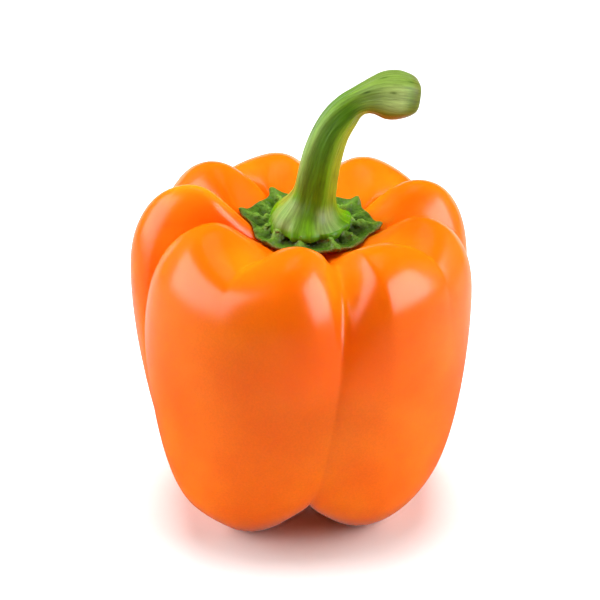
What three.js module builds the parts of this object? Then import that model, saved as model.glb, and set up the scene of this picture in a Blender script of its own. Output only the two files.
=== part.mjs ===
// A blocky bell pepper as picked: the lobed fruit standing on its own feet, its calyx and its cut stem.
// Millimetres, +Z up. The origin is on the surface that it stands on, under the middle of its box.
// Angles are degrees round the upright axis: 0 is the right-hand side and -90 is the front.
import * as THREE from "three";

const fruitWidth = 85; // across the shoulders
const fruitHeight = 82; // surface to the top of the shoulders
const crownShift = 2; // the crown sits this far to the right of the middle of the fruit
const calyxMiddle = { x: crownShift, y: 1.5 };
const calyxThickness = 1.3;
const jointGap = 0.35; // between the fruit, the calyx and the foot of the stem

const fruitRadius = fruitWidth / 2;
const degrees = Math.PI / 180;
const { lerp, smoothstep } = THREE.MathUtils;

// Upright outlines from the hollow under the calyx, over the shoulder and down to the blossom scar, through
// the crest of a lobe and along the bottom of the deepest furrow. A point is a share of the fruit's radius
// and a share of its height.
const crestOutline = outline([
  [0, 0.865], [0.2, 0.865], [0.38, 0.905], [0.62, 1], [0.835, 0.965], [0.965, 0.85], [1, 0.69],
  [0.98, 0.48], [0.915, 0.25], [0.815, 0.085], [0.56, -0.012], [0.28, 0.035], [0, 0.11],
]);
const furrowOutline = outline([
  [0, 0.865], [0.19, 0.862], [0.3, 0.852], [0.42, 0.855], [0.59, 0.855], [0.75, 0.785], [0.865, 0.655],
  [0.885, 0.48], [0.82, 0.28], [0.67, 0.165], [0.46, 0.125], [0.24, 0.113], [0, 0.11],
]);

// Places along an outline, from 0 at the crown's middle to 1 at the scar, where the figures below are given.
const stations = { crown: 0.12, apex: 0.25, shoulder: 0.4, side: 0.6, foot: 0.85, scar: 1 };

// How tight a furrow is: 1 is the crease between two sausages, and 0 the hollow of a soft wave. How blunt
// the lobes beside it are: 2 is round, above that they are flatter in the middle and turn in late, and below
// it they are more pointed.
const tightness = { crown: 0.2, apex: 0.9, shoulder: 1, side: 0.3, foot: 0.75 };
const bluntness = { crown: 2, apex: 1.8, shoulder: 1.7, side: 2, foot: 2 };
const chamberParting = 1; // depth at the foot of the broad valley between two chambers

// The furrows, anticlockwise from the front: their angles at the crown, shoulder and foot, their depths at
// the apex, shoulder, side and foot as shares of the deepest, and how sharp they are. One that parts two of
// the four chambers also runs on underneath, between two feet.
const furrows = [
  furrow([-69, -73.5, -88], [1, 1, 0.45, 0.3], 1, true),
  furrow([-33, -33, -35], [0.4, 0.06, 0, 0], 0.5, false),
  furrow([2, 2, -11], [1, 0.9, 0.5, 0.3], 1, true),
  furrow([42, 37, 42], [0.74, 0.24, 0.06, 0.03], 0.9, false),
  furrow([85, 85, 88], [0.95, 0.6, 0.45, 0.3], 1, true),
  furrow([120, 128, 125], [0.76, 0.2, 0.06, 0.03], 0.9, false),
  furrow([172, 161, 160], [0.9, 0.6, 0.2, 0.03], 0.8, false),
  furrow([195, 190, 206], [1, 0.9, 0.6, 0.3], 1, true),
  furrow([236, 240, 236], [0.75, 0.03, 0, 0], 0.6, false),
];

// The lobe that follows each furrow, against the common outline: the height of its top, how far it reaches
// out at the shoulder and low on its side, and how many times as blunt it is as the others.
const lobes = [
  { top: -2.2, reach: 0, low: 0, blunt: 1.8 },
  { top: -1.9, reach: 0.5, low: 0.4, blunt: 1 },
  { top: -0.3, reach: 0.8, low: 0, blunt: 1 },
  { top: -1.3, reach: 0, low: 0, blunt: 1 },
  { top: -1.4, reach: 0, low: 0, blunt: 1 },
  { top: 1.9, reach: 1, low: -1, blunt: 1 },
  { top: 3.4, reach: 2, low: -3.2, blunt: 1.15 },
  { top: 0, reach: 0.2, low: 2.8, blunt: 1 },
  { top: 0, reach: 0, low: 0, blunt: 1 },
];

const columnsPerHalfLobe = 5;
const columnCrowding = 1.7; // above 1 brings the columns closer together beside a furrow
const fruitRows = 38;

// The points of the calyx, anticlockwise from the front: angle, reach from its middle, how far the tip lifts
// off the fruit, and the reach of the hollow edge between this point and the next.
const calyxPoints = [
  { angle: -62, reach: 14.7, lift: 0.6, hollow: 15 },
  { angle: -3, reach: 17.6, lift: 0.6, hollow: 15 },
  { angle: 41, reach: 17, lift: 0.7, hollow: 15 },
  { angle: 85, reach: 17, lift: 0.6, hollow: 15 },
  { angle: 122.5, reach: 17.6, lift: 0.7, hollow: 15 },
  { angle: 173, reach: 17.4, lift: 0.2, hollow: 14.2 },
  { angle: 226, reach: 14.7, lift: 0.3, hollow: 13.4 },
];
const calyxFloor = 72.3; // height of its underside where it spans a furrow
const calyxColumns = 120;
const calyxRings = 9;
const tipWidth = 9; // degrees from a tip to where it has shrunk to a third
const ribWidth = 5; // degrees from the top of a rib to where it has sunk to a third
const ribRise = 0.8; // of the ribs that run from the stem to each point
const minorRibRise = 0.45; // of the ribs midway between those
const pocketDepth = 0.45; // between the ribs
const relief = { start: 9, full: 11.5 }; // radii beside the stem's foot where ribs and pockets begin

// The middle line of the stem, from its foot on the calyx to its cut end, and its radius at each length
// along that line.
const stemFoot = calyxFloor + calyxThickness + jointGap;
const stemRoute = [
  [2, 1.5, stemFoot], [2, 1.5, 76.5], [3.1, 1.2, 82.5], [4.2, 0.6, 89.5], [5.7, 0, 95.8], [7.9, 0, 101.2],
  [11.1, 0, 105.4], [15.2, 0, 108.2], [19.8, 0, 109.4], [24.2, 0.3, 109.1], [28.2, 1, 108.3],
].map((p) => new THREE.Vector3(...p));
const stemProfile = [
  [0, 0], [8.9, 0], [9.8, 0.9], [8.5, 2.9], [6.5, 5.3], [5.4, 8], [5.1, 11.5], [4.9, 18], [4.5, 25],
  [4.1, 32], [3.8, 36.4], [4.5, 39.5], [5.7, 42.6], [6, 45.6], [5.1, 48.8], [3.6, 50.3], [0, 50.6],
];
const stemColumns = 30;
const stemRows = 40;
const stemRidges = { count: 5, share: 0.05 }; // of the radius
const footBulges = { count: 7, share: 0.045, height: 4 };

function outline(shares) {
  return new THREE.SplineCurve(shares.map(([r, z]) => new THREE.Vector2(r * fruitRadius, z * fruitHeight)));
}

function furrow([crownAngle, shoulderAngle, footAngle], [apex, shoulder, side, foot], sharp, parts) {
  const angle = { crown: crownAngle, shoulder: shoulderAngle, foot: footAngle };
  return { angle, depth: { apex, shoulder, side, foot, scar: 0 }, sharp, parts };
}

// Value at t of a figure that is given at some of the stations, eased from each to the next.
function eased(figure, t) {
  const names = Object.keys(figure);
  let k = 0;
  while (k < names.length - 2 && t > stations[names[k + 1]]) k++;
  const [from, to] = [names[k], names[k + 1]];
  return lerp(figure[from], figure[to], smoothstep(t, stations[from], stations[to]));
}

// Furrows are counted on past the last one for the next lap round the fruit, and back before the first.
function furrowAngle(count, t) {
  const lap = Math.floor(count / furrows.length);
  return eased(furrows[count - lap * furrows.length].angle, t) + 360 * lap;
}

// How far the skin is sunk towards the furrow outline, at a share x of the way from a furrow to the middle
// of a lobe.
function furrowShape(x, tight, blunt) {
  const round = 1 - (1 - (1 - x) ** blunt) ** (1 / blunt);
  const soft = Math.cos((x * Math.PI) / 2) ** 2;
  return lerp(soft, round, tight);
}

// A lobe's own figure, eased from the middle of one lobe to the middle of the next.
function lobeFigure(name, index, share) {
  const neighbour = share < 0.5 ? index - 1 : index + 1;
  const own = lobes[(index + lobes.length) % lobes.length][name];
  const other = lobes[(neighbour + lobes.length) % lobes.length][name];
  return lerp(own, other, 0.5 * smoothstep(Math.abs(share - 0.5), 0, 0.5));
}

// Share of the way across the chamber that an angle at t in a lobe lies in.
function chamberShare(index, angle, t) {
  let first = index;
  while (!furrows[(first + furrows.length) % furrows.length].parts) first--;
  let last = index + 1;
  while (!furrows[last % furrows.length].parts) last++;
  const from = furrowAngle(first, t);
  return (angle - from) / (furrowAngle(last, t) - from);
}

// The skin in a lobe, at a share of the way across it and at t along the outline: angle, radius and height.
function skin(index, share, t) {
  const crest = crestOutline.getPoint(t);
  const valley = furrowOutline.getPoint(t);
  const angle = lerp(furrowAngle(index, t), furrowAngle(index + 1, t), share);
  const nearest = furrows[(share < 0.5 ? index : index + 1) % furrows.length];
  const tight = nearest.sharp * eased(tightness, t);
  const blunt = lobes[index].blunt * eased(bluntness, t);
  const narrow = eased(nearest.depth, t) * furrowShape(1 - Math.abs(2 * share - 1), tight, blunt);
  const broad =
    chamberParting *
    smoothstep(t, stations.side, stations.foot) *
    furrowShape(1 - Math.abs(2 * chamberShare(index, angle, t) - 1), tightness.foot, bluntness.foot);
  const sunk = 1 - (1 - narrow) * (1 - broad);
  const onTop = smoothstep(t, 0.08, stations.apex) * (1 - smoothstep(t, stations.apex, 0.55));
  const onSide = smoothstep(t, 0.15, stations.shoulder) * (1 - smoothstep(t, stations.shoulder, 0.8));
  const lowDown = smoothstep(t, stations.shoulder, 0.7) * (1 - smoothstep(t, 0.75, 0.95));
  return {
    angle,
    radius:
      lerp(crest.x, valley.x, sunk) +
      lobeFigure("reach", index, share) * onSide +
      lobeFigure("low", index, share) * lowDown,
    height: Math.max(0, lerp(crest.y, valley.y, sunk) + lobeFigure("top", index, share) * onTop),
  };
}

function onCircle({ radius, angle, height }) {
  return new THREE.Vector3(radius * Math.cos(angle * degrees), radius * Math.sin(angle * degrees), height);
}

// How far the middle of the fruit has moved towards the middle of the crown at t.
function crownOffset(t) {
  return new THREE.Vector3(crownShift * (1 - smoothstep(t, stations.apex, stations.side)), 0, 0);
}

// Gives every vertex of a lathed form its place by its column and its row.
function shaped(geometry, columns, rows, place) {
  const position = geometry.getAttribute("position");
  for (let column = 0; column <= columns; column++)
    for (let row = 0; row < rows; row++) {
      const p = place(column % columns, row);
      position.setXYZ(column * rows + row, p.x, p.y, p.z);
    }
  geometry.computeVertexNormals();
  return geometry;
}

function fruitGeometry() {
  const perLobe = 2 * columnsPerHalfLobe;
  const columns = perLobe * lobes.length;
  const blank = new THREE.LatheGeometry(crestOutline.getPoints(fruitRows), columns);
  return shaped(blank, columns, fruitRows + 1, (column, row) => {
    const t = 1 - row / fruitRows;
    const step = (column % perLobe) / columnsPerHalfLobe - 1;
    const share = 0.5 + 0.5 * Math.sign(step) * (1 - (1 - Math.abs(step)) ** columnCrowding);
    return onCircle(skin(Math.floor(column / perLobe), share, t)).add(crownOffset(t));
  });
}

// The skin at an angle and t. The lobe is found by going round from the first furrow.
function skinAt(angle, t) {
  let a = angle;
  while (a < furrowAngle(0, t)) a += 360;
  while (a >= furrowAngle(furrows.length, t)) a -= 360;
  let index = 0;
  while (a >= furrowAngle(index + 1, t)) index++;
  const from = furrowAngle(index, t);
  return skin(index, (a - from) / (furrowAngle(index + 1, t) - from), t);
}

// Height of the skin in the crown under a point, found by halving.
function crownHeight(x, y) {
  const radius = Math.hypot(x - crownShift, y);
  const angle = Math.atan2(y, x - crownShift) / degrees;
  let low = 0;
  let high = stations.apex;
  for (let k = 0; k < 24; k++) {
    const middle = (low + high) / 2;
    if (skinAt(angle, middle).radius < radius) low = middle;
    else high = middle;
  }
  return skinAt(angle, low).height;
}

// The calyx's edge at an angle, counted on from its first point: its reach, its lift, and the rise of the
// rib that meets it there.
function calyxEdge(angle) {
  const behind = calyxPoints.findLastIndex((point) => point.angle <= angle);
  const last = calyxPoints[behind];
  const next = calyxPoints[(behind + 1) % calyxPoints.length];
  const since = angle - last.angle;
  const until = next.angle - angle + (next.angle < angle ? 360 : 0);
  const near = since < until ? last : next;
  const off = Math.min(since, until);
  return {
    reach: lerp(last.hollow, near.reach, Math.exp(-off / tipWidth)),
    lift: near.lift * Math.exp(-((off / tipWidth) ** 2)),
    rib:
      ribRise * Math.exp(-((off / ribWidth) ** 2)) +
      minorRibRise * Math.exp(-(((since - until) / 2 / ribWidth) ** 2)),
  };
}

function calyxGeometry() {
  const rows = 2 * calyxRings + 2;
  const blank = new THREE.LatheGeometry(
    Array.from({ length: rows }, (_, row) => new THREE.Vector2(row % (rows - 1), row)),
    calyxColumns,
  );
  return shaped(blank, calyxColumns, rows, (column, row) => {
    const angle = (360 * column) / calyxColumns + calyxPoints[0].angle;
    const under = row <= calyxRings;
    const share = 1 - (1 - (under ? row : rows - 1 - row) / calyxRings) ** 1.5;
    const edge = calyxEdge(angle);
    const radius = share * edge.reach;
    const x = calyxMiddle.x + radius * Math.cos(angle * degrees);
    const y = calyxMiddle.y + radius * Math.sin(angle * degrees);
    const floor = Math.max(calyxFloor, crownHeight(x, y) + jointGap);
    const raised = edge.lift * smoothstep(share, 0.6, 1);
    const clearOfStem = smoothstep(radius, relief.start, relief.full);
    const pocket = pocketDepth * clearOfStem * (1 - smoothstep(share, 0.8, 0.95));
    const rib = edge.rib * clearOfStem * (1 - 0.7 * smoothstep(share, 0.8, 1));
    const blade = calyxThickness * lerp(1, 0.6, smoothstep(share, 0.75, 1));
    const thick = blade + rib - pocket * (1 - edge.rib / ribRise);
    return new THREE.Vector3(x, y, floor + raised + (under ? 0 : thick));
  });
}

function stemGeometry() {
  const route = new THREE.CatmullRomCurve3(stemRoute);
  const length = route.getLength();
  const profile = new THREE.SplineCurve(stemProfile.map((p) => new THREE.Vector2(...p)));
  const points = profile.getPoints(stemRows - 1);
  const drawn = points[stemRows - 1].y;
  const across = new THREE.Vector3(0, 1, 0);
  return shaped(new THREE.LatheGeometry(points, stemColumns), stemColumns, stemRows, (column, row) => {
    const along = Math.max(0, points[row].y);
    const angle = (360 * column) / stemColumns;
    const u = Math.min(along / drawn, 1);
    const tangent = route.getTangentAt(u);
    const normal = new THREE.Vector3().crossVectors(across, tangent).normalize();
    const binormal = new THREE.Vector3().crossVectors(tangent, normal);
    const low = 1 - smoothstep(along, 0, footBulges.height);
    const wave =
      1 +
      low * footBulges.share * Math.cos(footBulges.count * angle * degrees) +
      (1 - low) * stemRidges.share * Math.cos(stemRidges.count * angle * degrees);
    const radius = points[row].x * wave;
    return route
      .getPointAt(u)
      .addScaledVector(normal, radius * Math.cos(angle * degrees))
      .addScaledVector(binormal, radius * Math.sin(angle * degrees))
      .addScaledVector(tangent, (along / drawn - u) * length);
  });
}

function piece(name, geometry, color, roughness) {
  const material = new THREE.MeshStandardMaterial({ color, roughness, metalness: 0 });
  const mesh = new THREE.Mesh(geometry, material);
  mesh.name = name;
  return mesh;
}

const pepper = new THREE.Group();
pepper.add(piece("fruit", fruitGeometry(), 0xf07010, 0.3));
pepper.add(piece("calyx", calyxGeometry(), 0x4c7a22, 0.6));
pepper.add(piece("stem", stemGeometry(), 0x7d9a35, 0.5));

// The origin goes under the middle of the box round the whole.
const middle = new THREE.Box3().setFromObject(pepper).getCenter(new THREE.Vector3());
for (const mesh of pepper.children) mesh.geometry.translate(-middle.x, -middle.y, 0);

export default pepper;
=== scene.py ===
import math

import bpy
import numpy as np
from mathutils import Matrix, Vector


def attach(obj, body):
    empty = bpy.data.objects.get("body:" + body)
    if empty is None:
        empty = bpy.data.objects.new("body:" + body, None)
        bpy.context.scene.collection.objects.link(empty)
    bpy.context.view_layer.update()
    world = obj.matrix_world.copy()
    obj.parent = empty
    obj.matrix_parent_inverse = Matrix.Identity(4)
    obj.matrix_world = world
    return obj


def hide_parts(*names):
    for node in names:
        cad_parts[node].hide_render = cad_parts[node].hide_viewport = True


# An orange bell pepper on its own feet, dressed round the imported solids. Metres, +Z up.
# Sizes in the dictionaries are in mm, and a pair such as (34, 46) is where a change starts and ends.
# Angles round the upright axis are degrees from the right-hand side, and -90 is the front.
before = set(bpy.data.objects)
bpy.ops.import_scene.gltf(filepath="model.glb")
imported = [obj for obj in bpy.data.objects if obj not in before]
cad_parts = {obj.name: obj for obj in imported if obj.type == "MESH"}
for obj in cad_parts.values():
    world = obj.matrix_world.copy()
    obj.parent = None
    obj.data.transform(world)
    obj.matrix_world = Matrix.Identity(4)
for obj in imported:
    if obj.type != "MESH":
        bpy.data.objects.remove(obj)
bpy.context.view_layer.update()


def mm(value):
    return value / 1000


def perMetre(sizeMm):  # texture scale whose pattern repeats about every sizeMm
    return 1000 / sizeMm


def toLinear(hexColour):
    channels = [int(hexColour[k:k + 2], 16) / 255 for k in (1, 3, 5)]
    return [c / 12.92 if c <= 0.04045 else ((c + 0.055) / 1.055) ** 2.4 for c in channels] + [1]


def smoothstep(value, low, high):
    share = np.clip((value - low) / (high - low), 0, 1)
    return share * share * (3 - 2 * share)


def within(value, rise, fall):  # rises over one range and falls again over the other
    return smoothstep(value, *rise) * (1 - smoothstep(value, *fall))


# 1 in the middle and fading on both sides, with a sharp top, a round one or a flat one
def crest(offset, halfWidth):
    return np.exp(-np.abs(offset) / halfWidth)


def hump(offset, halfWidth):
    return np.exp(-((offset / halfWidth) ** 2))


def plateau(offset, halfWidth):
    return np.exp(-((offset / halfWidth) ** 4))


def angleApart(angle, other):
    return (angle - other + 180) % 360 - 180


def neighbours(angles):  # each angle with the next one round the circle
    return zip(angles, (*angles[1:], angles[0] + 360))


def polar(at):  # distance from the upright axis, and angle round it
    return np.hypot(at[:, 0], at[:, 1]), np.degrees(np.arctan2(at[:, 1], at[:, 0]))


def addNode(tree, kind, settings=None, inputs=None):
    node = tree.nodes.new(kind)
    for name, value in (settings or {}).items():
        setattr(node, name, value)
    for socket, value in (inputs or {}).items():
        if isinstance(value, bpy.types.NodeSocket):
            tree.links.new(value, node.inputs[socket])
        else:
            node.inputs[socket].default_value = value
    return node


def newMaterial(name):
    material = bpy.data.materials.new(name)
    material.use_nodes = True
    material.node_tree.nodes.clear()
    return material, material.node_tree


def finishMaterial(tree, shader):
    addNode(tree, "ShaderNodeOutputMaterial", inputs={"Surface": shader.outputs["BSDF"]})


def selectOnly(piece):
    bpy.ops.object.select_all(action="DESELECT")
    piece.select_set(True)
    bpy.context.view_layer.objects.active = piece


# Camera: the photograph's view, square on to the front and a little from above
cameraPlace = {"elevation": 28, "distance": 750, "aimHeight": 53.5, "lens": 180, "sensor": 36}


def addCamera(place):
    tilt = math.radians(place["elevation"])
    back = mm(place["distance"])
    at = (0, -back * math.cos(tilt), mm(place["aimHeight"]) + back * math.sin(tilt))
    bpy.ops.object.camera_add(location=at, rotation=(math.pi / 2 - tilt, 0, 0))
    camera = bpy.context.object
    camera.data.lens = place["lens"]
    camera.data.sensor_width = place["sensor"]
    bpy.context.scene.camera = camera


addCamera(cameraPlace)
print("camera placed")

# Studio: a white floor under a soft top light, between two large softboxes, in a dim room
studio = {
    "floorRadius": 450, "floorSides": 96, "floorColour": "#FAFAFA",
    "room": 0.05, "backdrop": 1.0,
    # the mirrored floor's brightness in front, behind, past the paper's edge and in the pepper's shade. Its
    # slope and edge are depths, below 0 nearer the camera, and shadeEnd is measured from the middle
    "mirroredFloor": {
        "below": 0.2, "front": 0.42, "behind": 1.1, "slope": (-80, 80),
        "pastEdge": 0.12, "edge": (-160, -105), "shade": 0.2, "shadeEnd": (50, 150)},
    # azimuth from the camera's side to the right, elevation and distance; width and height; watts
    "lamps": {
        "leftLamp": {"at": (-98, 23, 700), "size": (880, 600), "power": 6.6},
        "rightLamp": {"at": (94, 23, 700), "size": (820, 600), "power": 6.4},
        "topLamp": {"at": (180, 78, 1000), "size": (700, 700), "power": 3.8, "spread": 80},
    },
    "mirrored": {
        "leftSoftbox": {"at": (-77, 25, 700), "size": (660, 500), "power": 8.2},
        "rightSoftbox": {"at": (68, 25, 700), "size": (640, 500), "power": 11},
        "whiteWall": {"at": (180, 0, 900), "size": (1700, 320), "power": 2.2},
    },
}


def addDisc(name, below):
    bpy.ops.mesh.primitive_circle_add(
        vertices=studio["floorSides"], radius=mm(studio["floorRadius"]), fill_type="NGON",
        location=(0, 0, -mm(below)))
    disc = bpy.context.object
    disc.name = name
    return disc


def addFloor():
    floor = addDisc("studioFloor", 0)
    material, tree = newMaterial("whitePaperSweep")
    shader = addNode(tree, "ShaderNodeBsdfPrincipled", inputs={
        "Base Color": toLinear(studio["floorColour"]), "Roughness": 0.9, "Specular IOR Level": 0.1})
    finishMaterial(tree, shader)
    floor.data.materials.append(material)
    floor.visible_glossy = False


# The floor as the wax mirrors it: duller towards the camera, past the paper's edge and in the pepper's shade
# It glows, seen only in reflections: a painted reflection of the floor, with the pepper's shadow painted in
def addMirroredFloor():
    look = studio["mirroredFloor"]
    paper = addDisc("mirroredFloor", look["below"])
    slopeFront, slopeBack = [mm(depth) for depth in look["slope"]]
    farEdge, nearEdge = [mm(depth) for depth in look["edge"]]
    shadeEdge, lightEdge = [mm(away) for away in look["shadeEnd"]]
    material, tree = newMaterial("mirroredPaper")
    place = addNode(tree, "ShaderNodeTexCoord").outputs["Object"]
    depth = addNode(tree, "ShaderNodeSeparateXYZ", inputs={"Vector": place}).outputs["Y"]
    lit = addNode(tree, "ShaderNodeMapRange", inputs={
        "Value": depth, "From Min": slopeFront, "From Max": slopeBack,
        "To Min": look["front"], "To Max": look["behind"]})
    edged = addNode(tree, "ShaderNodeMapRange", {"interpolation_type": "SMOOTHSTEP"}, {
        "Value": depth, "From Min": farEdge, "From Max": nearEdge,
        "To Min": look["pastEdge"], "To Max": lit.outputs["Result"]})
    away = addNode(tree, "ShaderNodeVectorMath", {"operation": "LENGTH"}, {0: place})
    shaded = addNode(tree, "ShaderNodeMapRange", {"interpolation_type": "SMOOTHSTEP"}, {
        "Value": away.outputs["Value"], "From Min": shadeEdge, "From Max": lightEdge,
        "To Min": look["shade"], "To Max": edged.outputs["Result"]})
    shader = addNode(tree, "ShaderNodeEmission", inputs={"Strength": shaded.outputs["Result"]})
    addNode(tree, "ShaderNodeOutputMaterial", inputs={"Surface": shader.outputs["Emission"]})
    paper.data.materials.append(material)
    paper.visible_camera = False
    paper.visible_diffuse = False
    paper.visible_shadow = False


def addPanel(name, box):
    azimuth, elevation = [math.radians(angle) for angle in box["at"][:2]]
    level = math.cos(elevation)
    way = Vector((math.sin(azimuth) * level, -math.cos(azimuth) * level, math.sin(elevation)))
    bpy.ops.object.light_add(type="AREA", location=way * mm(box["at"][2]))
    panel = bpy.context.object
    panel.name = name
    panel.rotation_euler = way.to_track_quat("Z", "Y").to_euler()
    panel.data.shape = "RECTANGLE"
    panel.data.size, panel.data.size_y = [mm(side) for side in box["size"]]
    panel.data.energy = box["power"]
    panel.data.spread = math.radians(box.get("spread", 180))
    panel.visible_camera = False
    return panel


# A dim room, in front of a white backdrop that only the camera sees
def addRoom():
    scene = bpy.context.scene
    scene.world = bpy.data.worlds.new("studioRoom")
    scene.world.use_nodes = True
    tree = scene.world.node_tree
    seen = addNode(tree, "ShaderNodeMix", {"data_type": "FLOAT"}, {
        "Factor": addNode(tree, "ShaderNodeLightPath").outputs["Is Camera Ray"],
        "A": studio["room"], "B": studio["backdrop"]})
    background = tree.nodes["Background"]
    background.inputs["Color"].default_value = (1, 1, 1, 1)
    tree.links.new(seen.outputs["Result"], background.inputs["Strength"])
    scene.view_settings.view_transform = "Standard"


addFloor()
addMirroredFloor()
for name, box in studio["lamps"].items():  # these light the pepper, and aren't mirrored in its wax
    addPanel(name, box).visible_glossy = False
for name, box in studio["mirrored"].items():  # these are only mirrored
    addPanel(name, box).visible_diffuse = False
addRoom()
print("studio set up")


# A finer copy of a solid: its loose triangles are merged, joined to quads and subdivided
def finerCopy(node, name, levels):
    piece = bpy.data.objects.new(name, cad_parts[node].data.copy())
    bpy.context.scene.collection.objects.link(piece)
    piece.data.materials.clear()
    selectOnly(piece)
    if piece.data.has_custom_normals:
        bpy.ops.mesh.customdata_custom_splitnormals_clear()
    bpy.ops.object.mode_set(mode="EDIT")
    bpy.ops.mesh.select_all(action="SELECT")
    bpy.ops.mesh.remove_doubles(threshold=mm(0.002))
    bpy.ops.mesh.tris_convert_to_quads(
        face_threshold=math.radians(60), shape_threshold=math.radians(120), topology_influence=1)
    bpy.ops.object.mode_set(mode="OBJECT")
    triangles = sum(1 for face in piece.data.polygons if len(face.vertices) == 3)
    print(name, "faces", len(piece.data.polygons), "of them triangles", triangles)
    fine = piece.modifiers.new("finer", "SUBSURF")
    fine.levels = levels
    fine.render_levels = levels
    bpy.ops.object.modifier_apply(modifier=fine.name)
    bpy.ops.object.shade_smooth()
    return piece


def points(piece):  # where its vertices are, in mm
    places = np.empty(len(piece.data.vertices) * 3, np.float32)
    piece.data.vertices.foreach_get("co", places)
    return places.reshape(-1, 3).astype(float) * 1000


def normals(piece):
    directions = np.empty(len(piece.data.vertices) * 3, np.float32)
    piece.data.vertex_normals.foreach_get("vector", directions)
    return directions.reshape(-1, 3).astype(float)


# Applies a modifier as far as the weight painted on each vertex says, leaving out weights under the least
def applyWhere(piece, modifier, weights, least):
    group = piece.vertex_groups.new(name="painted")
    for index in np.flatnonzero(weights > least):
        group.add([int(index)], float(weights[index]), "REPLACE")
    modifier.vertex_group = group.name
    selectOnly(piece)
    bpy.ops.object.modifier_apply(modifier=modifier.name)
    piece.vertex_groups.clear()


# Pushes out along the normals, or in where the height is below 0
def pushOut(piece, weights, height, texture=None, middle=0.0, least=0.001):
    push = piece.modifiers.new("push", "DISPLACE")
    push.strength = mm(height)
    push.mid_level = middle
    if texture:
        push.texture = texture
    applyWhere(piece, push, weights, least)


def cloudTexture(name, sizeMm, depth=1):
    texture = bpy.data.textures.new(name, "CLOUDS")
    texture.noise_scale = mm(sizeMm)
    texture.noise_depth = depth
    texture.noise_basis = "ORIGINAL_PERLIN"
    texture.use_clamp = False
    return texture


def keep(piece, name, values):  # stores a figure for each vertex, which the material reads
    attribute = piece.data.attributes.new(name, "FLOAT", "POINT")
    attribute.data.foreach_set("value", np.asarray(values, np.float32))


# Colours laid over each other in order, each as far as the figure of its name says
def laidOver(tree, colour, colours):
    for name, hexColour in colours.items():
        figure = addNode(tree, "ShaderNodeAttribute", {"attribute_name": name}).outputs["Fac"]
        mixed = addNode(tree, "ShaderNodeMix", {"data_type": "RGBA"}, {
            "Factor": figure, "A": colour, "B": toLinear(hexColour)})
        colour = mixed.outputs["Result"]
    return colour


# Middle of the stem's flat foot, which the calyx and the stem are drawn round
def findStemFoot(soleDepth=0.1):
    at = points(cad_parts["stem"])
    sole = at[at[:, 2] < at[:, 2].min() + soleDepth]
    return (sole.min(axis=0) + sole.max(axis=0)) / 2


stemFoot = findStemFoot()


# Fruit: the solid's own form, made smooth, with the faint waves of a real skin and a scar underneath
fruitLook = {
    "levels": 2,
    "waveSize": 16, "waveHeight": 0.12, "waveStart": (0.5, 6),
    # the flank smoothed beside the front furrow: angle and half width, and heights
    "flank": (-67.5, 6.5), "flankRise": (34, 46), "flankFall": (76, 84),
    "flankPasses": 250, "leastEasing": 0.01,
    # where each painted colour lies, by height, distance from the middle, depth or angle
    "scarEnd": (1, 4.5), "scarBelow": 20,
    # painted light: the skin is painted yellower and lighter towards the crown's top, where light falls
    "crownLightStart": (60, 80), "crownLightShare": 0.6,
    # painted light: paler, yellower skin lifting the shade in the crown's furrows and on one inner flank
    "furrowDepth": (4, 11), "furrowEnd": (32, 38), "furrowStart": (55, 70),
    "litPatch": {"angle": 176, "halfWidth": 15, "away": 25, "reach": 8, "start": (62, 70)},
    # painted shade: a redder, deeper band on the front beside the front furrow
    "shadeBandPatch": {"angle": -78, "halfWidth": 24, "rise": (40, 55), "fall": (69, 84), "share": 0.7},
    "tones": ((0.3, "#E65F02"), (0.5, "#E96502"), (0.75, "#ED6E03")),  # from redder to yellower
    # of these colours, the crown and furrow ones are painted light and the band beside the front furrow
    # painted shade
    "painted": {"shadeBand": "#FF6002", "crownLight": "#F46E02", "furrowLight": "#FA860C", "scar": "#8A6A3A"},
    "patchSize": 17, "speckSize": 0.5, "poreSize": 0.7, "poreDepth": 0.03,
    "roughness": (0.21, 0.25), "ior": 1.3,
    "lightDepth": 4, "lightShare": 0.3, "lightColours": (1.0, 0.3, 0.08),
}


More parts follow.
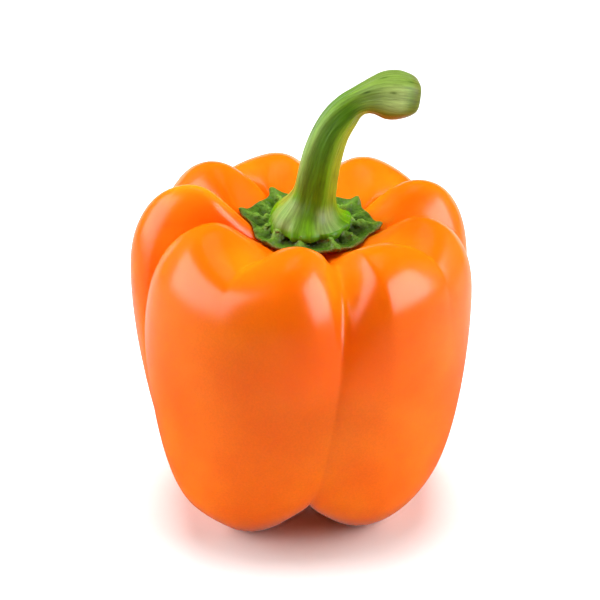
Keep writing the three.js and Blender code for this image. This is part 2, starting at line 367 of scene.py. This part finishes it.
def ripeSkin(look):
    # Ripe pepper skin: a smooth, waxy cuticle over thick wet flesh. It mirrors lamps softly, and light that
    # gets in comes out a little way off, which warms the creases
    material, tree = newMaterial("waxyPepperSkin")
    place = addNode(tree, "ShaderNodeTexCoord").outputs["Object"]
    patches = addNode(tree, "ShaderNodeTexNoise", inputs={
        "Vector": place, "Scale": perMetre(look["patchSize"]), "Detail": 2, "Roughness": 0.5})
    tone = addNode(tree, "ShaderNodeValToRGB", inputs={"Fac": patches.outputs["Fac"]})
    tone.color_ramp.elements.new(0.5)
    for stop, (position, hexColour) in zip(tone.color_ramp.elements, look["tones"]):
        stop.position = position
        stop.color = toLinear(hexColour)
    specks = addNode(tree, "ShaderNodeTexNoise", inputs={
        "Vector": place, "Scale": perMetre(look["speckSize"]), "Detail": 1})
    speckShade = addNode(tree, "ShaderNodeMapRange", inputs={
        "Value": specks.outputs["Fac"], "From Min": 0.3, "From Max": 0.7, "To Min": 0.95, "To Max": 1.03})
    speckled = addNode(tree, "ShaderNodeVectorMath", {"operation": "SCALE"}, {
        0: tone.outputs["Color"], "Scale": speckShade.outputs["Result"]})
    smoothest, roughest = look["roughness"]
    gloss = addNode(tree, "ShaderNodeMapRange", inputs={
        "Value": patches.outputs["Fac"], "From Min": 0.3, "From Max": 0.7,
        "To Min": smoothest, "To Max": roughest})
    pores = addNode(tree, "ShaderNodeTexNoise", inputs={
        "Vector": place, "Scale": perMetre(look["poreSize"]), "Detail": 2})
    bump = addNode(tree, "ShaderNodeBump", inputs={
        "Height": pores.outputs["Fac"], "Strength": 0.25, "Distance": mm(look["poreDepth"])})
    shader = addNode(tree, "ShaderNodeBsdfPrincipled", inputs={
        "Base Color": laidOver(tree, speckled.outputs["Vector"], look["painted"]),
        "Roughness": gloss.outputs["Result"], "IOR": look["ior"], "Subsurface Weight": look["lightShare"],
        "Subsurface Radius": look["lightColours"], "Subsurface Scale": mm(look["lightDepth"]),
        "Normal": bump.outputs["Normal"]})
    finishMaterial(tree, shader)
    return material


# The flank beside the front furrow, smoothed where its wall turns
def roundFlank(fruit, look):
    at = points(fruit)
    angle = polar(at)[1]
    middle, halfWidth = look["flank"]
    beside = plateau(angleApart(angle, middle), halfWidth)
    tall = within(at[:, 2], look["flankRise"], look["flankFall"])
    ease = fruit.modifiers.new("ease", "SMOOTH")
    ease.iterations = look["flankPasses"]
    applyWhere(fruit, ease, beside * tall, look["leastEasing"])


# How much each point of the crown lies in a furrow: 1 is well below the highest one as far from the middle
def inFurrow(height, away, look):
    ring = away.astype(int)  # in steps of 1 mm
    highest = np.zeros(ring.max() + 1)
    np.maximum.at(highest, ring, height)
    sunk = smoothstep(highest[ring] - height, *look["furrowDepth"])
    return sunk * (1 - smoothstep(away, *look["furrowEnd"])) * smoothstep(height, *look["furrowStart"])


def paintFruit(fruit, look, height, away, angle):
    pale = look["litPatch"]
    paleSide = plateau(angleApart(angle, pale["angle"]), pale["halfWidth"])
    litPatch = paleSide * plateau(away - pale["away"], pale["reach"]) * smoothstep(height, *pale["start"])
    shadeBand = look["shadeBandPatch"]
    besideFurrow = plateau(angleApart(angle, shadeBand["angle"]), shadeBand["halfWidth"])
    keep(fruit, "scar", (1 - smoothstep(away, *look["scarEnd"])) * (height < look["scarBelow"]))
    # painted light: yellower, lighter skin rising to the crown's top
    keep(fruit, "crownLight", look["crownLightShare"] * smoothstep(height, *look["crownLightStart"]))
    # painted light in the crown's furrows and on the patch of the left lobe's inner flank
    keep(fruit, "furrowLight", np.maximum(inFurrow(height, away, look), litPatch))
    # painted shade on the front beside the front furrow
    keep(fruit, "shadeBand", shadeBand["share"] * besideFurrow * within(height, shadeBand["rise"], shadeBand["fall"]))


def makeFruit(look):
    fruit = finerCopy("fruit", "pepperFruit", look["levels"])
    roundFlank(fruit, look)
    at = points(fruit)
    away, angle = polar(at)
    height = at[:, 2]
    waves = cloudTexture("skinWaves", look["waveSize"])
    pushOut(fruit, smoothstep(height, *look["waveStart"]), look["waveHeight"], waves, middle=0.5)
    paintFruit(fruit, look, height, away, angle)
    fruit.data.materials.append(ripeSkin(look))
    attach(fruit, "root")
    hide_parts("fruit")


makeFruit(fruitLook)
print("fruit made")

# Calyx: folds that run from the stem to each point, crinkled pockets between them, and a thin rim.
# A pair that ends or starts something across the leaf is a share of the way out to the rim
calyxLook = {
    "levels": 2,
    "tips": (-62, -3, 41, 85, 122.5, 173, 226), "rimStep": 3,  # angles of the points, and a sector's width
    "topTurn": (0.1, 0.5), "underTurn": (-0.1, 0.4),  # how far a face looks up, or down
    "stemEdge": (7.5, 9.5),  # distances from the middle where the leaf comes clear of the stem
    "tipReach": 1, "tipHalfWidth": 0.8, "tipStart": (0.8, 1), "tipCurl": 0.6, "curlStart": (0.9, 0.98),
    "foldHeight": 1.1, "minorFoldHeight": 0.8, "foldHalfWidth": 1.1, "foldEnd": (0.7, 1),
    "pocketDepth": 0.6, "pocketEnd": (0.75, 0.95),
    "crinkleSize": 1.7, "crinkleHeight": 2.2, "crinkleEnd": (0.7, 0.97),
    "collarHeight": 1.3, "collarRadius": 10, "collarHalfWidth": 1.2,
    "collarPuckers": 11, "puckerShare": 0.45,
    # how strongly each colour is painted; the folds' paler colour is painted light
    "minorFoldShare": 0.8, "foldFade": 0.6, "foldFadeStart": (0.8, 1),
    "rimShare": 0.6, "rimStart": (0.965, 0.995), "underShare": 0.8,
    "leaf": "#38580B", "paler": "#4C7016",
    # painted shade: the dark colour of the pockets between the folds
    "painted": {"pocketShade": "#1B2A05", "foldLight": "#749C36", "rim": "#7C8040", "under": "#5A4614"},
    "patchSize": 4, "grainSize": 0.6, "grainDepth": 0.12, "veinSize": 1.1, "veinDepth": 0.5,
    "puffSize": 1.9, "puffDepth": 0.8,
    "roughness": 0.36, "ior": 1.33,
    "lightDepth": 0.8, "lightShare": 0.1, "lightColours": (0.4, 1.0, 0.2),
}


def matteCalyx(look):
    # Calyx of a picked pepper: a tough little green leaf, matt and faintly downy, with a drying rim
    material, tree = newMaterial("crinkledCalyxLeaf")
    place = addNode(tree, "ShaderNodeTexCoord").outputs["Object"]
    grain = addNode(tree, "ShaderNodeTexNoise", inputs={
        "Vector": place, "Scale": perMetre(look["grainSize"]), "Detail": 3, "Roughness": 0.6})
    patches = addNode(tree, "ShaderNodeTexNoise", inputs={
        "Vector": place, "Scale": perMetre(look["patchSize"]), "Detail": 2})
    leaf = addNode(tree, "ShaderNodeMix", {"data_type": "RGBA"}, {
        "Factor": patches.outputs["Fac"], "A": toLinear(look["leaf"]), "B": toLinear(look["paler"])})
    shade = addNode(tree, "ShaderNodeMapRange", inputs={
        "Value": grain.outputs["Fac"], "From Min": 0.3, "From Max": 0.7, "To Min": 0.85, "To Max": 1.12})
    grained = addNode(tree, "ShaderNodeVectorMath", {"operation": "SCALE"}, {
        0: laidOver(tree, leaf.outputs["Result"], look["painted"]), "Scale": shade.outputs["Result"]})
    puffs = addNode(tree, "ShaderNodeTexVoronoi", {"feature": "SMOOTH_F1"}, {
        "Vector": place, "Scale": perMetre(look["puffSize"]), "Smoothness": 0.3, "Detail": 1})
    puffed = addNode(tree, "ShaderNodeBump", {"invert": True}, {
        "Height": puffs.outputs["Distance"], "Strength": 0.9, "Distance": mm(look["puffDepth"])})
    veins = addNode(tree, "ShaderNodeTexNoise", inputs={
        "Vector": place, "Scale": perMetre(look["veinSize"]), "Detail": 2, "Distortion": 1})
    wrinkled = addNode(tree, "ShaderNodeBump", inputs={
        "Height": veins.outputs["Fac"], "Strength": 0.6, "Distance": mm(look["veinDepth"]),
        "Normal": puffed.outputs["Normal"]})
    bump = addNode(tree, "ShaderNodeBump", inputs={
        "Height": grain.outputs["Fac"], "Strength": 0.4, "Distance": mm(look["grainDepth"]),
        "Normal": wrinkled.outputs["Normal"]})
    shader = addNode(tree, "ShaderNodeBsdfPrincipled", inputs={
        "Base Color": grained.outputs["Vector"], "Roughness": look["roughness"], "IOR": look["ior"],
        "Subsurface Weight": look["lightShare"], "Subsurface Radius": look["lightColours"],
        "Subsurface Scale": mm(look["lightDepth"]), "Normal": bump.outputs["Normal"]})
    finishMaterial(tree, shader)
    return material


def rimReach(angle, radius, stepDegrees):  # furthest point of the leaf in each narrow sector
    sectors = int(360 / stepDegrees)
    sector = np.round(angle / stepDegrees).astype(int) % sectors
    reach = np.zeros(sectors)
    np.maximum.at(reach, sector, radius)
    whole = np.arange(sectors + 1) * stepDegrees
    return np.interp(angle % 360, whole, np.append(reach, reach[0]))


def makeCalyx(look):
    calyx = finerCopy("calyx", "pepperCalyx", look["levels"])
    at = points(calyx)
    off = at - stemFoot
    radius, angle = polar(off)
    share = radius / rimReach(angle, radius, look["rimStep"])
    top = smoothstep(normals(calyx)[:, 2], *look["topTurn"])
    tips = look["tips"]
    midways = [(tip + nextTip) / 2 for tip, nextTip in neighbours(tips)]

    def away(angles):  # mm to the nearest of the lines that run out at these angles
        return np.min([np.abs(angleApart(angle, one)) for one in angles], axis=0) * np.radians(radius)

    # the points are drawn out first, outwards along the leaf
    onTip = smoothstep(share, *look["tipStart"]) * crest(away(tips), look["tipHalfWidth"])
    at[:, :2] += off[:, :2] * (onTip * look["tipReach"] / radius.clip(1))[:, None]
    calyx.data.vertices.foreach_set("co", mm(at).astype(np.float32).ravel())

    main = crest(away(tips), look["foldHalfWidth"])
    minor = crest(away(midways), look["foldHalfWidth"])
    clear = top * smoothstep(radius, *look["stemEdge"])
    folded = clear * (1 - smoothstep(share, *look["foldEnd"]))
    pocketShade = clear * (1 - smoothstep(share, *look["pocketEnd"])) * (1 - np.maximum(main, minor))
    crinkled = clear * (1 - smoothstep(share, *look["crinkleEnd"]))
    pushOut(calyx, folded * main, look["foldHeight"])
    pushOut(calyx, folded * minor, look["minorFoldHeight"])
    pushOut(calyx, pocketShade, -look["pocketDepth"])
    crinkles = cloudTexture("crinkles", look["crinkleSize"], depth=2)
    pushOut(calyx, crinkled, look["crinkleHeight"], crinkles, middle=0.5)
    collar = top * hump(radius - look["collarRadius"], look["collarHalfWidth"])
    puckers = 1 - look["puckerShare"] * (1 - np.cos(np.radians(angle * look["collarPuckers"])))
    pushOut(calyx, collar * puckers, look["collarHeight"])
    curl = smoothstep(share, *look["curlStart"]) * hump(away(tips), look["tipHalfWidth"])
    pushOut(calyx, top * curl, look["tipCurl"])

    fading = 1 - look["foldFade"] * smoothstep(share, *look["foldFadeStart"])
    # painted light: paler green along the folds' crests
    keep(calyx, "foldLight", clear * np.maximum(main, look["minorFoldShare"] * minor) * fading)
    # painted shade in the pockets
    keep(calyx, "pocketShade", pocketShade)
    keep(calyx, "rim", look["rimShare"] * smoothstep(share, *look["rimStart"]) * (1 - curl))
    keep(calyx, "under", look["underShare"] * smoothstep(-normals(calyx)[:, 2], *look["underTurn"]))
    calyx.data.materials.append(matteCalyx(look))
    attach(calyx, "root")
    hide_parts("calyx")


makeCalyx(calyxLook)
print("calyx made")

# Stem: a ridged stalk on a fluted foot, bent over to the right, with a swollen cut end.
# A place along it is the length from its foot. An angle round it is 0 on the right, which is underneath
# where it is bent over, -90 in front and 180 on the left
stemLook = {
    "levels": 3,
    "route": (  # middle line from the middle of the foot, the same as the solid's
        (0, 0, 0), (0, 0, 2.55), (1.1, -0.3, 8.55), (2.2, -0.9, 15.55), (3.7, -1.5, 21.85),
        (5.9, -1.5, 27.25), (9.1, -1.5, 31.45), (13.2, -1.5, 34.25), (17.8, -1.5, 35.45),
        (22.2, -1.2, 35.15), (26.2, -0.5, 34.35)),
    "routeSteps": 12,
    "sideStart": (2, 3.5),  # radius from which a point is on its side, and not on the sole or the cut end
    "toes": (  # angle and half width
        (-137, 13), (-108, 7), (-85, 11), (-56, 14), (-24, 9), (10, 12), (45, 9), (80, 13), (118, 8),
        (155, 12), (190, 10)),
    "toeHeight": 0.8, "toeEnd": (0.5, 5),
    "facets": (-140, -80, -20, 45, 110, 170), "facetDepth": 0.22,
    "facetRise": (3, 8), "facetFall": (40, 46),
    "fibreHeight": 0.03, "fibreCount": 34, "fibreEnd": (47, 49),
    "fibreWander": ((6, 9, 0), (4, 4, 1)),  # degrees, length of a bend and where it starts
    "bunching": 2, "bunches": 3,
    # underneath, the knob stands out from the neck: angle, then places along the stem, with half widths
    "underside": (-10, 75), "neck": (36.5, 3), "neckPinch": 0.6, "belly": (43.5, 2.5), "bellyHeight": 0.4,
    # colours in the order they are laid on: each one's share, where it rises and falls along the stem, how
    # much is left past its fall, and its angles and half widths round it
    "green": "#6C9414",
    "painted": {
        # painted shade: the lower stem, down in the crown's hollow, is painted a darker, greener green
        "low": {"colour": "#5C9208", "share": 0.9, "fall": (14, 30)},
        # painted shade: darker green down the stem's front facet, which lies in shade, greener near the foot
        "shadeBand": {"colour": "#4A7404", "share": 1, "rise": (3.6, 6.5), "fall": (34, 42), "left": 0.2,
                 "around": ((-94, 23),)},
        "lowShadeBand": {"colour": "#558806", "share": 1, "rise": (3.6, 6.5), "fall": (14, 30),
                    "around": ((-94, 23),)},
        # painted highlight: a paler facet up the stem's left side
        "facetHighlight": {"colour": "#7E9E48", "share": 0.9, "rise": (8, 15), "fall": (22, 36), "left": 0.1,
                  "around": ((-156, 40),)},
        # painted highlight: paler panels on the flaring foot, on both sides of the front
        "panel": {"colour": "#84A458", "share": 0.9, "rise": (1, 2.4), "fall": (6, 9),
                  "around": ((-138, 32), (-55, 23))},
        "foot": {"colour": "#4F900C", "share": 0.9, "fall": (0.6, 1.8)},
        "olive": {"colour": "#A2A02A", "share": 0.6, "rise": (3, 12), "around": ((-12, 42),)},
        "edge": {"colour": "#8C8A22", "share": 0.75, "rise": (2.5, 5), "fall": (8, 16),
                 "around": ((178, 20),)},
        # painted shade: darker green along the top of the bend and the knob
        "upperShade": {"colour": "#55762E", "share": 0.9, "rise": (16, 30), "around": ((180, 50),)},
        "knob": {"colour": "#74883A", "share": 0.6, "rise": (34, 42)},
        "under": {"colour": "#6C5400", "share": 1, "rise": (36, 42), "around": ((-14, 68),)},
        # painted highlight: a pale patch on the front of the knob
        "knobHighlight": {"colour": "#B8C878", "share": 0.7, "rise": (41, 46), "fall": (47, 49.5),
                "around": ((-103, 26),)},
        "slit": {"colour": "#2F4A0A", "share": 0.8},
        "dry": {"colour": "#5C600F", "share": 0.75, "rise": (48.6, 50.4)},
    },
    "slits": ((49, -142), (43.8, -152), (40.5, -122), (45.5, -114)),  # place along the stem and angle
    "slitLength": 0.8, "slitWidth": 0.3,
    "streakScale": 2600, "patchScale": 420, "streakDepth": 0.14,  # scales per metre
    "strandRadius": 5, "strandStretch": 0.07,  # the streaks go round this radius, drawn out lengthways
    "roughness": 0.38, "ior": 1.22,
    "lightDepth": 0.6, "lightShare": 0.06, "lightColours": (0.5, 1.0, 0.2),
}


def fibrousStem(look):
    # Cut green stalk: waxy skin over long fibres, with painted highlights where it flares, dry where it was
    # cut
    material, tree = newMaterial("fibrousGreenStalk")
    around = addNode(tree, "ShaderNodeAttribute", {"attribute_name": "strand"}).outputs["Vector"]
    streaks = addNode(tree, "ShaderNodeTexNoise", inputs={
        "Vector": around, "Scale": look["streakScale"], "Detail": 4, "Roughness": 0.7})
    patches = addNode(tree, "ShaderNodeTexNoise", inputs={
        "Vector": around, "Scale": look["patchScale"], "Detail": 2})
    fine = addNode(tree, "ShaderNodeMapRange", inputs={
        "Value": streaks.outputs["Fac"], "From Min": 0.35, "From Max": 0.65,
        "To Min": 0.72, "To Max": 1.28})
    broad = addNode(tree, "ShaderNodeMapRange", inputs={
        "Value": patches.outputs["Fac"], "From Min": 0.3, "From Max": 0.7, "To Min": 0.86, "To Max": 1.14})
    shade = addNode(tree, "ShaderNodeMath", {"operation": "MULTIPLY"}, {
        0: fine.outputs["Result"], 1: broad.outputs["Result"]})
    colours = {name: patch["colour"] for name, patch in look["painted"].items()}
    streaked = addNode(tree, "ShaderNodeVectorMath", {"operation": "SCALE"}, {
        0: laidOver(tree, toLinear(look["green"]), colours), "Scale": shade.outputs["Value"]})
    bump = addNode(tree, "ShaderNodeBump", inputs={
        "Height": streaks.outputs["Fac"], "Strength": 0.7, "Distance": mm(look["streakDepth"])})
    shader = addNode(tree, "ShaderNodeBsdfPrincipled", inputs={
        "Base Color": streaked.outputs["Vector"], "Roughness": look["roughness"], "IOR": look["ior"],
        "Subsurface Weight": look["lightShare"], "Subsurface Radius": look["lightColours"],
        "Subsurface Scale": mm(look["lightDepth"]), "Normal": bump.outputs["Normal"]})
    finishMaterial(tree, shader)
    return material


# Points closely spaced on a smooth curve through the given ones
def smoothRoute(given, stepsBetween):
    p = np.array([given[0], *given, given[-1]], float)
    share = np.linspace(0, 1, stepsBetween, endpoint=False)[:, None]
    parts = []
    for k in range(len(given) - 1):
        a, b, c, d = p[k:k + 4]
        parts.append(0.5 * (2 * b + (c - a) * share + (2 * a - 5 * b + 4 * c - d) * share ** 2
                            + (3 * b - a - 3 * c + d) * share ** 3))
    return np.concatenate([*parts, p[-1:]])


# Where each vertex lies on the stem: its length along the middle line, angle round it and radius
def alongStem(at, look):
    line = smoothRoute(look["route"], look["routeSteps"]) + stemFoot
    steps = np.linalg.norm(np.diff(line, axis=0), axis=1)
    reached = np.append(0, np.cumsum(steps))
    tangent = np.gradient(line, reached, axis=0)
    tangent /= np.linalg.norm(tangent, axis=1)[:, None]
    side = np.cross((0, 1, 0), tangent)
    side /= np.linalg.norm(side, axis=1)[:, None]
    front = np.cross(tangent, side)
    nearest = np.argmin(((at[:, None, :] - line[None]) ** 2).sum(2), axis=1)
    off = at - line[nearest]
    length = reached[nearest] + (off * tangent[nearest]).sum(1)
    x = (off * side[nearest]).sum(1)
    y = (off * front[nearest]).sum(1)
    return length, np.degrees(np.arctan2(y, x)), np.hypot(x, y)


def onSlits(look, length, angle, radius):
    slits = [hump(length - place, look["slitLength"])
             * hump(np.radians(angleApart(angle, turn)) * radius, look["slitWidth"])
             for place, turn in look["slits"]]
    return np.max(slits, axis=0)


# How much of each colour shows at each place on the stem
def paintStem(stem, look, length, angle, radius):
    for name, patch in look["painted"].items():
        amount = np.full(len(length), float(patch["share"]))
        if "fall" in patch:
            fallen = smoothstep(length, *patch["fall"])
            amount += (patch.get("left", 0) - patch["share"]) * fallen
        if "rise" in patch:
            amount *= smoothstep(length, *patch["rise"])
        if "around" in patch:
            sides = [plateau(angleApart(angle, turn), halfWidth) for turn, halfWidth in patch["around"]]
            amount *= np.max(sides, axis=0)
        if name == "slit":
            amount *= onSlits(look, length, angle, radius)
        keep(stem, name, amount)


# Shallow hollows between the stem's ridges, 1 in the middle of each
def betweenRidges(angle, ridges):
    hollows = np.zeros(len(angle))
    for ridge, nextRidge in neighbours(ridges):
        off = angleApart(angle, (ridge + nextRidge) / 2) / ((nextRidge - ridge) / 2)
        hollows = np.maximum(hollows, np.where(np.abs(off) < 1, np.cos(off * math.pi / 2) ** 2, 0))
    return hollows


def shapeStem(stem, look, length, angle, radius):
    onSide = smoothstep(radius, *look["sideStart"])
    toes = np.max([hump(angleApart(angle, toe), halfWidth) for toe, halfWidth in look["toes"]], axis=0)
    pushOut(stem, onSide * toes * (1 - smoothstep(length, *look["toeEnd"])), look["toeHeight"])
    shaft = within(length, look["facetRise"], look["facetFall"])
    pushOut(stem, onSide * shaft * betweenRidges(angle, look["facets"]), -look["facetDepth"])
    wander = sum(turn * np.sin(length / bend + start) for turn, bend, start in look["fibreWander"])
    bunched = look["bunching"] * np.sin(np.radians(look["bunches"] * angle))
    fibres = 0.5 + 0.5 * np.sin(np.radians((angle + wander) * look["fibreCount"]) + bunched)
    pushOut(stem, onSide * fibres * (1 - smoothstep(length, *look["fibreEnd"])), look["fibreHeight"])
    middle, halfWidth = look["underside"]
    underneath = onSide * plateau(angleApart(angle, middle), halfWidth)
    neck, neckReach = look["neck"]
    pushOut(stem, underneath * hump(length - neck, neckReach), -look["neckPinch"])
    belly, bellyReach = look["belly"]
    pushOut(stem, underneath * hump(length - belly, bellyReach), look["bellyHeight"])


# The places that the streaks are drawn by: round a cylinder, and drawn out along the stem
def layStrands(stem, look, length, angle):
    turn = np.radians(angle)
    radius = mm(look["strandRadius"])
    along = mm(length) * look["strandStretch"]
    drawn = np.stack([radius * np.cos(turn), radius * np.sin(turn), along], axis=1)
    strand = stem.data.attributes.new("strand", "FLOAT_VECTOR", "POINT")
    strand.data.foreach_set("vector", drawn.astype(np.float32).ravel())


def makeStem(look):
    stem = finerCopy("stem", "pepperStem", look["levels"])
    length, angle, radius = alongStem(points(stem), look)
    shapeStem(stem, look, length, angle, radius)
    layStrands(stem, look, length, angle)
    paintStem(stem, look, length, angle, radius)
    stem.data.materials.append(fibrousStem(look))
    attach(stem, "root")
    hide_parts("stem")


makeStem(stemLook)
print("stem made")
